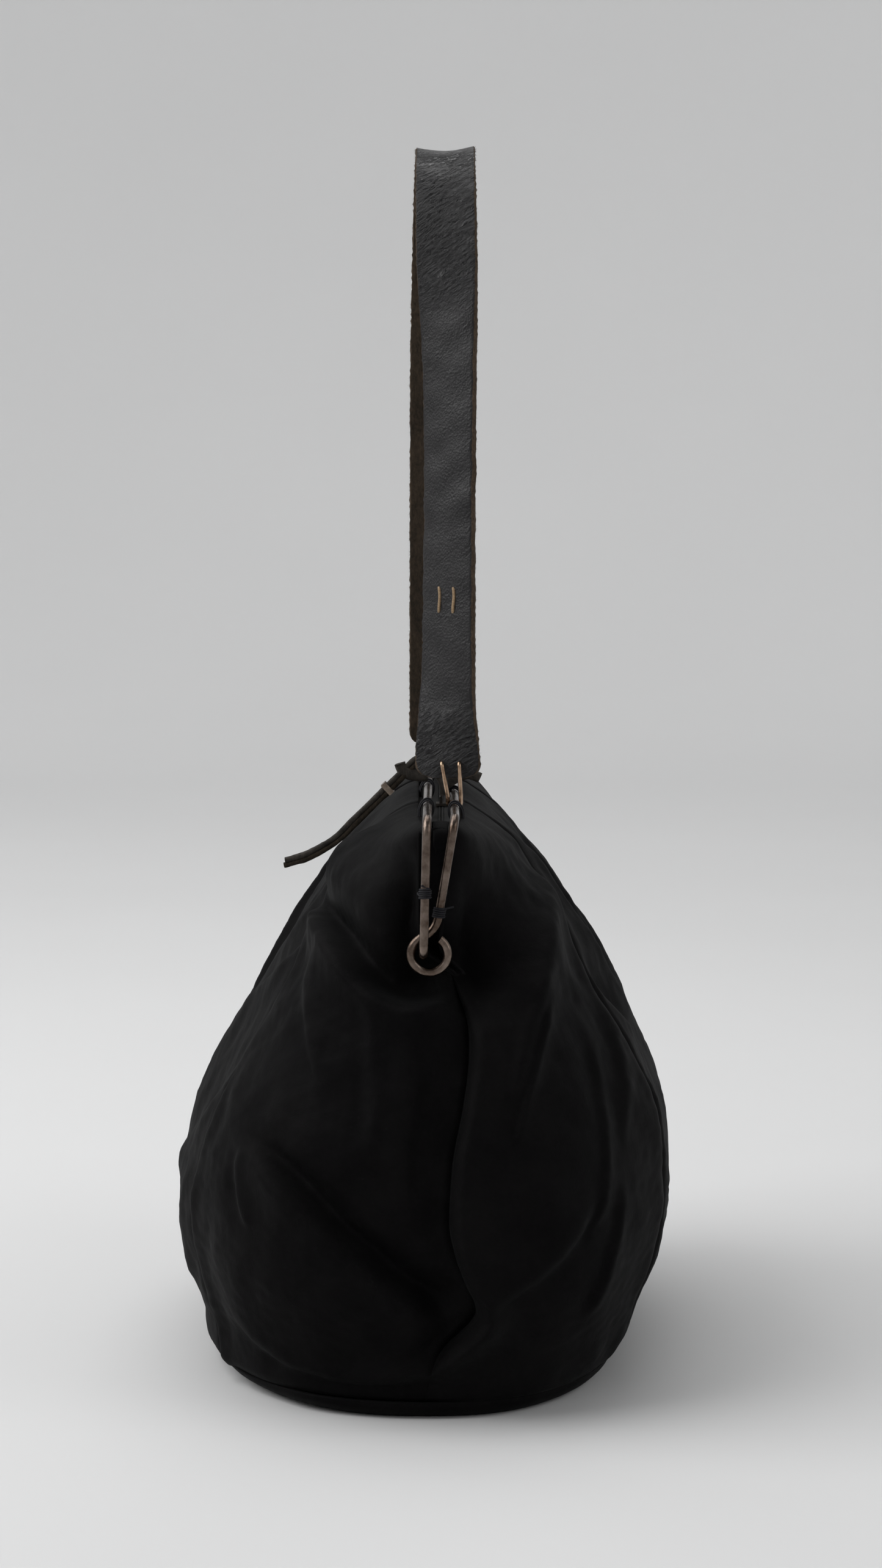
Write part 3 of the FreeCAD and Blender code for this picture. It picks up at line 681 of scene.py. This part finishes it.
def gusset_half(end, side):
    """Half of a gusset. On the near end the right half laps over the left one."""
    flip, sign, seam = SIGN[end], SIGN[side], SEAM[side]
    step, count = (1.7, 118) if end == "near" else (2.4, 80)
    under = 12 if side == "left" else 0
    rows, to_seam, to_lap = [], [], []
    for level in wall_levels(step):
        start = sign * seam_bearing(level, seam)
        stop = bearing_across(level, lap_across(level, side) + under)
        points, run = outline(level, start, stop, count, 0.45)
        rows.append(points)
        to_seam.append(run)
        to_lap.append(run[-1] - run - under)
    points, to_seam, to_lap = np.array(rows), np.array(to_seam), np.array(to_lap)
    x, z = points[..., 0], points[..., 2]
    top = 1 - smooth_step(z, *TOP_FADE)
    inner = smooth_step(to_seam, 0, 22)
    folds = (NEAR_HOLLOWS, NEAR_FOLDS) if end == "near" else (FAR_HOLLOWS, FAR_FOLDS)
    depth = relief(x, z, *folds) * inner * (0.25 + 0.75 * top)
    lap_height = smooth_step(z, 23, 40) * (1 - smooth_step(z, 226, 250))
    hook = np.exp(-((z - 52) / 15) ** 2)
    if side == "left":
        depth -= (6 + 4 * hook) * np.exp(-((to_lap - 2) / 17) ** 2) * lap_height
        depth -= 6 * smooth_step(-to_lap, -4, 8) * (0.3 + 0.7 * lap_height)
        depth += 2.2 * np.exp(-(to_seam / 9) ** 2) * top
    else:
        round_edge = np.clip(1 - to_lap / LAP_ROLL, 0, 1)
        depth += (6 + 4 * hook) * np.exp(-((to_lap - 6) / (17 - 5 * hook)) ** 2) * lap_height
        depth -= (10 + 5 * hook) * (1 - np.sqrt(1 - round_edge**2)) * (0.05 + 0.95 * lap_height)
    depth += puff(to_seam, 1.6, 0.8) * (0.3 + 0.7 * top)
    depth += puff(z - SEAM_LEVEL, 0.9, 0.6)
    points = behind_legs(dressed(points, depth)) * np.array([1, flip, 1])
    piece = grid_piece(f"leather_{end}_{side}", points, "body", flip=sign * flip > 0)
    nodes = [f"{side}_{end}_wing"] + ([f"{end}_end_gusset"] if side == "left" else [])
    finish_leather(piece, nodes, side)


ROOF_END = 170  # how far along the turned-in top of a pleat reaches
PLEAT_EDGE = 195.4  # how far along a pleat's outer edge is
PLEAT_DEPTH, PLEAT_RELIEF = 32, 6.5  # a pleat is shallower near the mouth, clear of the slider


def gusset_pleat(end, side):
    """The leather folded in between the legs, which on the bag opens when the frame does; here its
    mesh is baked in place.
    """
    flip = SIGN[end]
    middle = 3.8
    rows = []
    for level in np.linspace(PLEAT_START, mouth_level - 1, 40):
        outer = lap_across(level, side) + 1.5 * SIGN[side]
        t = np.linspace(0, 1, 16)
        x = outer + (middle - outer) * t
        deep = PLEAT_DEPTH - PLEAT_RELIEF * smooth_step(level, 296, 314)
        y = PLEAT_EDGE - deep * np.sin(t * math.pi / 2) ** 1.3 + 1.2 * np.sin(level / 9 + 5 * t)
        rows.append(np.stack([x, -flip * y, np.full(16, level)], -1))
    # Its top turns in under the rods and ends over the mouth's facings.
    top = rows[-1]
    for level, share in ((323.4, 0.12), (324.8, 0.45), (325.4, 1.0)):
        turned = top + (np.array([0, -flip * ROOF_END, 0]) - top) * np.array([0, share, 0])
        turned[:, 2] = level
        rows.append(turned)
    points = np.array(rows)
    piece = grid_piece(f"leather_pleat_{end}_{side}", points, "body", flip=SIGN[side] * flip > 0)
    thicken(piece, PLEAT_THICKNESS)
    outer = -2.5 if side == "left" else 10
    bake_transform(piece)


def base():
    """The leather base: a turned-up rim and a flat underside."""
    rows = [outline(level, 0, 2 * math.pi, 301)[0][:-1]
            for level in (*np.linspace(SEAM_LEVEL, 2, 8), 1.0, 0.3, 0.0)]
    rows += [rows[-1] * np.array([share, share, 1])
             for share in (0.97, 0.92, 0.82, 0.66, 0.45, 0.22, 0.02)]
    points = np.array(rows)
    depth = puff(SEAM_LEVEL - points[..., 2], 0.9, 0.6) + 0.8 * ripple(points, 60, 3)
    depth *= smooth_step(points[..., 2], 0, SEAM_LEVEL)
    points = points + unit(points * np.array([1, 1, 0])) * depth[..., None]
    piece = grid_piece("leather_base", points, "body", closed=True, flip=True)
    finish_leather(piece, ["base_panel"])


for side in ("left", "right"):
    side_panel(side)
    for end in ("near", "far"):
        gusset_half(end, side)
        gusset_pleat(end, side)
base()


def mouth_tab(end):
    """A leather tab over each end of the zip, between the rods, that turns down over the pleat."""
    flip = SIGN[end]
    route = curve_through([(-168.5, 325.6), (-176, 326.5), (-186, 326), (-195, 323.2),
                           (-198.2, 317.5), (-197.6, 311.5)], 1.5)
    rows = []
    for number, (y, z) in enumerate(route):
        share = number / (len(route) - 1)
        half = 4.3 - 1.6 * smooth_step(share, 0.86, 1)
        across = np.linspace(-1, 1, 9)
        rows.append(np.stack([7.5 + half * across, np.full(9, flip * y), z - 0.9 * across**2], -1))
    points = np.array(rows)
    piece = grid_piece(f"mouth_tab_{end}", points, "body", flip=end == "near")
    thicken(piece, TAB_THICKNESS)
    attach(piece, "left_frame")


for end in ("near", "far"):
    mouth_tab(end)


# ------------------------ the strap

STRAP_WIDTH, STRAP_THICKNESS = 36, 3.9
FOOT = (-107.0, 343.2)  # the strap's middle line: along, up
CROWN = (-52.0, high("shoulder_strap")[2] - 3.6)
CROWN_BEND = 51  # the radius of the bends at the top
FACE_COLUMNS, EDGE_COLUMNS = 22, 5  # across a face of the strap, and round each of its edges
NEAR_LEG_ROWS = 120  # rows of the strap from its near foot that are all in the near leg
FOOT_CORNER = 9.0  # the radius of the corners at the strap's ends
FIBRES = 5200
# Each row is a distance along the strap, its middle across, its roll in degrees, how much its
# edges fall back, and its width as a share.
STRAP_RUN = (
    (0, 11.8, 0, 0.2, 1.00),
    (14, 11.2, -10, 0.4, 0.99),
    (38, 10.5, -29, 1.0, 0.985),
    (64, 10.8, -37, 1.5, 0.98),
    (110, 11.0, -38.5, 1.7, 0.975),
    (180, 11.4, -39.5, 1.8, 0.97),
    (235, 11.6, -37, 1.6, 0.975),
    (285, 11.2, -28, 1.2, 0.98),
    (315, 10.7, -21, 0.6, 0.985),
    (350, 10.4, -13, -0.4, 0.95),
    (390, 10.2, -4, -1.6, 0.915),
    (428, 9.9, 0, -1.9, 0.91),
    (480, 8.9, 4, -0.6, 0.95),
    (600, 7.2, 9, 1.2, 0.99),
    (760, 6.6, 6, 0.8, 0.99),
    (845, 6.4, 0, 0.2, 1.0),
)


def strap_line(step=2.0):
    """The strap's middle line in the plane of its legs: up, over and down, in even steps."""
    foot, crown = np.array(FOOT), np.array(CROWN)
    leg = unit(crown - foot)
    turn = math.acos(leg[0])
    reach = CROWN_BEND * math.tan(turn / 2)
    start, end = crown - leg * reach, crown + np.array([reach, 0])
    centre = end + np.array([0, -CROWN_BEND])
    angles = np.linspace(math.pi / 2 + turn, math.pi / 2, 40)
    arc = centre + CROWN_BEND * np.stack([np.cos(angles), np.sin(angles)], -1)
    half = np.vstack([np.linspace(foot, start, 60)[:-1], arc, [[0, crown[1]]]])
    whole = np.vstack([half, (half * [-1, 1])[-2::-1]])
    run = run_along(whole)
    at = np.linspace(0, run[-1], int(run[-1] / step) + 1)
    line = np.stack([np.interp(at, run, whole[:, k]) for k in (0, 1)], -1)
    kernel = np.hanning(9) / np.hanning(9).sum()
    padded = np.pad(line, ((4, 4), (0, 0)), mode="reflect", reflect_type="odd")
    return np.stack([np.convolve(padded[:, k], kernel, "valid") for k in (0, 1)], -1), at


def strap():
    """One strip of thick leather with raw edges: grain outside and flesh inside."""
    line, at = strap_line()
    at = at * STRAP_RUN[-1][0] / at[-1]
    middle, roll, fall, share = eased(STRAP_RUN, at)
    tangent = unit(np.gradient(line, axis=0))
    face, edge = FACE_COLUMNS, EDGE_COLUMNS
    over, down = np.linspace(-1, 1, face), np.linspace(1, -1, edge + 2)[1:-1]
    across = np.concatenate([over, np.ones(edge), over[::-1], -np.ones(edge)])
    lift = np.concatenate([np.ones(face), down, -np.ones(face), down[::-1]])
    bulge = np.sqrt(np.clip(1 - lift**2, 0, 1)) * 0.6
    # The ends are rounded: the strip narrows over the last few millimetres.
    to_end = np.minimum(np.minimum(at, at[-1] - at), FOOT_CORNER)
    trim = FOOT_CORNER - np.sqrt(np.clip(FOOT_CORNER**2 - (FOOT_CORNER - to_end) ** 2, 0, None))
    points = np.zeros((len(at), len(across), 3))
    for row in range(len(at)):
        along = Vector((0, tangent[row, 0], tangent[row, 1]))
        side = Matrix.Rotation(math.radians(roll[row]), 3, along) @ Vector((1, 0, 0))
        out = np.array(side.cross(along))
        side = np.array(side)
        here = np.full(len(across), at[row])
        u = across * (STRAP_WIDTH / 2 * share[row] - trim[row])
        fray = 0.28 * ripple(np.stack([here, lift * 2], -1), 5, 21, 12)
        u = u + np.sign(across) * (bulge + fray) * (np.abs(across) > 0.999)
        v = lift * STRAP_THICKNESS / 2 - fall[row] * across**2
        v = v + 0.22 * ripple(np.stack([here, u], -1), 26, 31)
        centre = np.array([middle[row], line[row, 0], line[row, 1]])
        points[row] = centre + u[:, None] * side + v[:, None] * out
    kind_of_column = np.repeat([0, 2, 1, 2], [face - 1, edge + 1, face - 1, edge + 1])
    kinds = np.concatenate([np.tile(kind_of_column, len(at) - 1), [2, 2]])
    piece = mesh_piece("strap_body", points.reshape(-1, 3), capped_faces(*points.shape[:2]),
                       ["strap", "flesh", "edge"], kinds)
    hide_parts("shoulder_strap")
    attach(piece, "strap")
    return points


strap_points = strap()


def strap_stitches():
    """Two plain parallel stitches, pulled down into the strap at their ends."""
    middle = (low("strap_stitches")[2] + high("strap_stitches")[2]) / 2
    half = (high("strap_stitches")[2] - low("strap_stitches")[2]) / 2
    rows = np.arange(NEAR_LEG_ROWS)
    lines = []
    for column in (8, 14):
        run = strap_points[:NEAR_LEG_ROWS, column]
        share = np.linspace(-1, 1, 15)
        at = np.interp(middle + half * share, run[:, 2], rows)
        line = np.stack([np.interp(at, rows, run[:, k]) for k in range(3)], -1)
        line[:, 1] += 1.1 * np.abs(share) ** 8 - 0.35
        line[:, 0] += 0.25 * np.sin(3 * share + column - 1)
        lines.append(line)
    tube("strap_threads", lines, THREAD_RADIUS, "stitch", "strap", "strap_stitches")


def strap_fuzz():
    """Short loose fibres along the strap's raw edges."""
    points, faces = [], []
    rows = len(strap_points)
    right_edge, left_edge = FACE_COLUMNS, 2 * FACE_COLUMNS + EDGE_COLUMNS
    sides = ((0, 2, 1), (0, 1, 3), (1, 2, 3), (2, 0, 3))
    for number in range(FIBRES):
        row = int(random.integers(4, rows - 4))
        column = (left_edge if number % 2 else right_edge) + int(random.integers(0, EDGE_COLUMNS))
        root = strap_points[row, column]
        centre = strap_points[row].mean(0)
        out = unit(root - centre)
        along = unit(strap_points[row + 2, column] - root)
        way = unit(out + along * random.uniform(-1.4, 1.4) + random.normal(size=3) * 0.35)
        tip = root + way * random.uniform(0.4, 1.8)
        width = np.cross(way, out + 0.1) * 0.08
        start = root - out * 0.2
        first = len(points)
        points += [start - width, start + width, start + np.cross(way, width), tip]
        faces += [tuple(first + corner for corner in side) for side in sides]
    piece = mesh_piece("strap_fibres", points, faces, ["edge"])
    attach(piece, "strap")


strap_fuzz()


# ------------------------ threads and small parts

TIES = {"left": (-134, -24, 60, 140), "right": (-149, -65, 65, 149)}  # along each rod
TIE_RADIUS, THREAD_RADIUS, COIL_RADIUS, COIL_PITCH = 0.55, 0.85, 0.26, 1.6


def tube(name, lines, radius, material, body, node):
    """Round threads or wires along lines of points in millimetres, as one mesh."""
    data = bpy.data.curves.new(name, "CURVE")
    data.dimensions = "3D"
    data.bevel_depth = radius * MM
    data.bevel_resolution = 3
    for points in lines:
        spline = data.splines.new("POLY")
        spline.points.add(len(points) - 1)
        places = np.c_[np.asarray(points) * MM, np.ones(len(points))]
        spline.points.foreach_set("co", places.ravel())
    data.use_fill_caps = True
    source = bpy.data.objects.new(name + "_line", data)
    mesh = bpy.data.meshes.new_from_object(source)
    bpy.data.objects.remove(source)
    bpy.data.curves.remove(data)
    mesh.name = name
    mesh.materials.clear()
    mesh.materials.append(MATERIALS[material])
    mesh.polygons.foreach_set("use_smooth", np.ones(len(mesh.polygons), bool))
    piece = add_to_scene(name, mesh)
    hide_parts(node)
    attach(piece, body)


def wrap(centre, axis, radius, turns, pitch, tail):
    """A thread wound round a rod, with a free tail at its end."""
    axis = unit(axis)
    side = unit(np.cross(axis, (0, 1, 0.2)))
    other = np.cross(axis, side)
    angles = np.linspace(0, 2 * math.pi * turns, int(turns * 26))
    along = (angles / (2 * math.pi) - turns / 2) * pitch
    reach = radius + 0.12 * np.sin(angles * 0.37 + 1)
    line = (centre + np.outer(np.cos(angles) * reach, side)
            + np.outer(np.sin(angles) * reach, other) + np.outer(along, axis))
    loose = curve_through([line[-1], line[-1] + tail * 0.5, line[-1] + tail], 0.6)
    return np.vstack([line, loose[1:]])


def tie_line(rod_across, station, side):
    """A thread that goes round the rod and through the leather's hem under it."""
    lines = []
    for turn, size in ((-1.2, 1.0), (0.0, 1.2), (1.1, 1.02)):
        angles = np.linspace(0, 2 * math.pi, 40)
        x = rod_across + SIGN[side] * 0.9 * (1 - np.sin(angles)) + 3.5 * size * np.cos(angles)
        z = right_rod.z - 1.9 + 5.3 * size * np.sin(angles)
        y = station + turn + 0.5 * np.sin(angles + turn)
        lines.append(np.stack([x, y, z], -1))
    return lines


def leg_point(side, level):
    """The middle of the near leg at a level, and its direction."""
    if side == "left":
        foot, top = np.array([pin.x, -207, pin.z]), np.array([0, -203, right_rod.z])
    else:
        foot, top = np.array([4.93, -200, 269.3]), np.array([right_rod.x, -200, right_rod.z])
    way = unit(top - foot)
    return foot + way * (level - foot[2]) / way[2], way


def lashings(side, level, tail):
    """The ties along one rod, and on each leg a tie with a tail and a loop into the leather."""
    lines = []
    across = 0 if side == "left" else right_rod.x
    for station in TIES[side]:
        lines += tie_line(across, station, side)
    middle, way = leg_point(side, level)
    for flip in (1, -1):
        mirror = np.array([1, flip, 1])
        lines.append(wrap(middle * mirror, way * mirror, ROD_RADIUS + TIE_RADIUS, 4.4, 1.15,
                          np.array(tail) * mirror))
        hook = middle + np.array([1.5 * SIGN[side], 3, 0.3])
        lines.append(curve_through([middle + [3, 0, 1.4], hook + [2.5, 4, 1], hook + [0, 7, 0],
                                    hook + [-2.5, 4, -1], middle + [-3, 0, -1.2]], 0.7) * mirror)
    tube(f"cord_{side}", lines, TIE_RADIUS, "cord", f"{side}_frame", f"lashings_{side}")


strap_stitches()
lashings("left", 290, (-4.5, -0.5, 2.0))
lashings("right", 279, (5.0, -0.3, 1.2))


def zip_coils():
    """A nylon coil along each side of the mouth."""
    for side in ("left", "right"):
        first, last = low(f"zip_coil_{side}"), high(f"zip_coil_{side}")
        middle = (first + last) / 2
        radius = (last[0] - first[0]) / 2
        turns = (last[1] - first[1] - 2) / COIL_PITCH
        angles = np.linspace(0, 2 * math.pi * turns, int(turns * 10))
        line = np.stack([middle[0] + radius * 0.72 * np.cos(angles),
                         first[1] + 1 + angles / (2 * math.pi) * COIL_PITCH,
                         middle[2] + radius * 0.72 * np.sin(angles)], -1)
        tube(f"zip_spiral_{side}", [line], COIL_RADIUS, "coil", f"{side}_frame", f"zip_coil_{side}")


zip_coils()

# The puller's middle line as seen from the near end: across, up.
PULLER_LINE = ((7.2, 330), (6.4, 336), (3.6, 343), (-1.5, 349.5), (-6.5, 350), (-12.5, 344.6),
               (-18.7, 338.3), (-25, 332), (-31.6, 325.6), (-42.7, 314.6), (-51.7, 305.6),
               (-61, 299.5), (-70, 294.8), (-77, 292.6), (-84.5, 290.6))


def strip(name, line, width, thickness, offset, material, cut, seed, back=0.0):
    """A narrow leather strip along line, offset to one side of it and back behind it."""
    middle = curve_through(line, 1.2)
    run = run_along(middle)
    middle, run = middle[run < run[-1] - cut], run[run < run[-1] - cut]
    way = unit(np.gradient(middle, axis=0))
    out = np.stack([way[:, 1], -way[:, 0]], -1)
    angles = np.linspace(0, 2 * math.pi, 20, endpoint=False)
    # A rounded rectangle's outline, in half widths and half thicknesses.
    waves = (np.cos(angles), np.sin(angles))
    wide, thick = (np.sign(wave) * np.abs(wave) ** 0.55 for wave in waves)
    points = []
    for row in range(len(middle)):
        a = wide * width / 2 * (1 + 0.05 * math.sin(run[row] / 9 + seed))
        b = thick * thickness / 2 * (1 + 0.07 * math.sin(run[row] / 5 + 2 * seed)) + offset
        points.append(np.stack([middle[row, 0] + out[row, 0] * b, slider_middle[1] + back + a,
                                middle[row, 1] + out[row, 1] * b], -1))
    points = np.array(points)
    points += (0.22 * ripple(points, 4.5, seed, 12))[..., None] * np.array([0.5, 0.4, 0.7])
    piece = mesh_piece(name, points.reshape(-1, 3), capped_faces(*points.shape[:2]), [material])
    return piece


def puller():
    """The folded strip on the slider, its short end, and the loose ends beside it."""
    upper = strip("puller_upper", PULLER_LINE, 7, 3.1, 1.35, "puller_grain", 2, 2)
    lower = strip("puller_lower", PULLER_LINE[3:], 7.2, 3.1, -1.35, "puller_flesh", 0, 5)
    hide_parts("puller_strip")
    curl = strip("puller_curl", ((0, 341.5), (-5, 341.8), (-11, 343), (-15, 345.8), (-16.6, 350)),
                 8, 6.5, 0, "puller_grain", 0, 3)
    # The strip's root stays upright between the rods, and the rest turns with the puller.
    for piece in (upper, lower):
        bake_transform(piece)
    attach(curl, "puller")
    nub = strip("puller_nub", ((9.5, 335), (15, 338.6), (21, 341), (26, 340.8), (31.4, 338.6)),
                7.5, 6, 0, "puller_grain", 0, 4, 9.5)
    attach(nub, "slider")


puller()


def restyle(node, material, bevel):
    """Gives a CAD node its material, and softens its edges."""
    thing = frame["nodes"][node]
    thing.data.materials.clear()
    thing.data.materials.append(MATERIALS[material])
    if bevel:
        soft = thing.modifiers.new("soft_edges", "BEVEL")
        soft.width = bevel * MM
        soft.segments = 2
        soft.limit_method = "ANGLE"


for material, bevel, nodes in (
    ("steel", 0, ("frame_bar_left", "frame_bar_right")),
    ("bronze", 0, ("strap_staple_near", "strap_staple_far")),
    ("band", 0.2, ("puller_clip",)),
    ("zip_metal", 0.15, ("zip_slider",)),
    ("zip_metal", 0.2, ("zip_stops_left", "zip_stops_right")),
    ("tape", 0, ("zip_tape_left", "zip_tape_right")),
    ("body", 0.4, ("left_mouth_facing", "right_mouth_facing")),
):
    for node in nodes:
        restyle(node, material, bevel)


# ------------------------ studio

# The studio is in metres. Each lamp has its place, what it points at, its size and its watts.
LAMPS = {
    "key": ((-2.2, -0.4, 2.3), (0, 0, 0.25), (2.8, 2.4), 73),
    "fill": ((2.5, -1.0, 1.7), (0, 0, 0.3), (2.0, 2.0), 13),
    "top": ((-0.2, 1.1, 3.0), (0, 0.2, 0.2), (3.0, 2.6), 48),
}
FLOOR_RADIUS, WALL_BEND, WALL_TOP = 3.3, 1.5, 5.0
GLOW_RADII, GLOW = (1.3, FLOOR_RADIUS + 0.9), 0.13
CAMERA_PLACE, CAMERA_DOWN, CAMERA_LENS = (0.0075, -2.2, 0.548), 5.68, 85.3


def studio_floor():
    """A round pale floor that curves up into a wall."""
    profile = [(radius, 0) for radius in (0.001, 1, 2, FLOOR_RADIUS)]
    for angle in np.radians(np.linspace(7.5, 90, 12)):
        profile.append((FLOOR_RADIUS + WALL_BEND * math.sin(angle),
                        WALL_BEND * (1 - math.cos(angle))))
    profile.append((FLOOR_RADIUS + WALL_BEND, WALL_TOP))
    turn = np.linspace(0, math.tau, 96, endpoint=False)
    points = np.array([np.stack([r * np.cos(turn), r * np.sin(turn), np.full(96, z)], -1)
                       for r, z in profile])
    MATERIALS["floor"] = studio_grey("studio_floor", (0.66, 0.66, 0.66))
    grid_piece("studio_floor", points / MM, "floor", closed=True)


def lamp(name, place, aim, size, power):
    light = bpy.data.lights.new(name, "AREA")
    light.shape = "RECTANGLE"
    light.size, light.size_y = size
    light.energy = power
    made = add_to_scene(name, light)
    made.location = place
    made.rotation_euler = (Vector(aim) - Vector(place)).to_track_quat("-Z", "Y").to_euler()


def studio():
    """The floor, soft light, and the camera."""
    studio_floor()
    for name, settings in LAMPS.items():
        lamp(name, *settings)
    world = bpy.data.worlds.new("studio")
    world.use_nodes = True
    sky = world.node_tree.nodes["Background"].inputs
    sky["Color"].default_value = (0.9, 0.92, 0.94, 1)
    sky["Strength"].default_value = 0.20
    bpy.context.scene.world = world
    camera = bpy.data.cameras.new("camera")
    camera.lens = CAMERA_LENS
    camera.sensor_width = 36
    camera.clip_end = 50
    eye = add_to_scene("camera", camera)
    eye.location = CAMERA_PLACE
    eye.rotation_euler = (math.radians(90 - CAMERA_DOWN), 0, 0)
    bpy.context.scene.camera = eye
    bpy.context.scene.view_settings.view_transform = "Standard"


studio()
